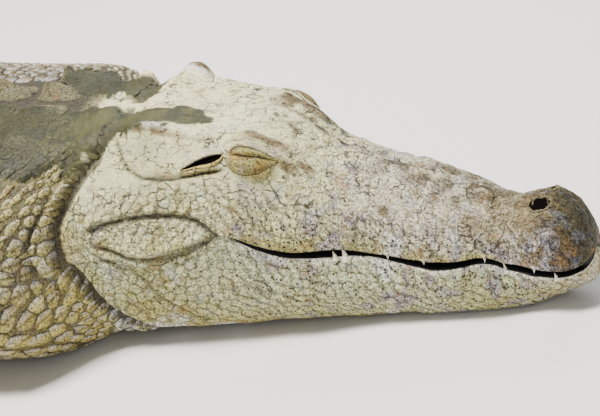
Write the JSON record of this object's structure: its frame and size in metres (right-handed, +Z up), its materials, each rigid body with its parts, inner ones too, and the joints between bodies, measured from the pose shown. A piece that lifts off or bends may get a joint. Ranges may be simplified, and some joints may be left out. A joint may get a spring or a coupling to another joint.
{
  "type": "crocodile",
  "caption": "Life-size adult Nile crocodile at rest on its belly: long snout with the mouth just open, heavy neck, armoured back, bent legs and a curving crested tail.",
  "frame": {"origin": "on the ground under the middle of the belly, on the flat of the belly that the animal lies on", "axes": "+X towards the snout along the straight part of the body, +Y to the animal's left, +Z up"},
  "size_m": [3.9447, 1.3584, 0.3586],
  "materials": {
    "skin": "scaly hide with dried pale mud, matt",
    "tooth": "ivory tooth, smooth",
    "claw": "dark horn, satin",
    "eye": "wet, glossy"
  },
  "bodies": {
    "root": {"eye_left": "eye", "eye_right": "eye", "front_left_claw_1": "claw", "front_left_claw_2": "claw", "front_left_claw_3": "claw", "front_left_foot": "skin", "front_left_lower": "skin", "front_left_upper": "skin", "front_right_claw_1": "claw", "front_right_claw_2": "claw", "front_right_claw_3": "claw", "front_right_foot": "skin", "front_right_lower": "skin", "front_right_upper": "skin", "head": "skin", "hind_left_claw_1": "claw", "hind_left_claw_2": "claw", "hind_left_claw_3": "claw", "hind_left_foot": "skin", "hind_left_lower": "skin", "hind_left_upper": "skin", "hind_right_claw_1": "claw", "hind_right_claw_2": "claw", "hind_right_claw_3": "claw", "hind_right_foot": "skin", "hind_right_lower": "skin", "hind_right_upper": "skin", "lower_jaw": "skin", "neck": "skin", "tail_base": "skin", "tail_middle": "skin", "tail_rear": "skin", "tail_tip": "skin", "trunk": "skin"}
  },
  "joints": []
}
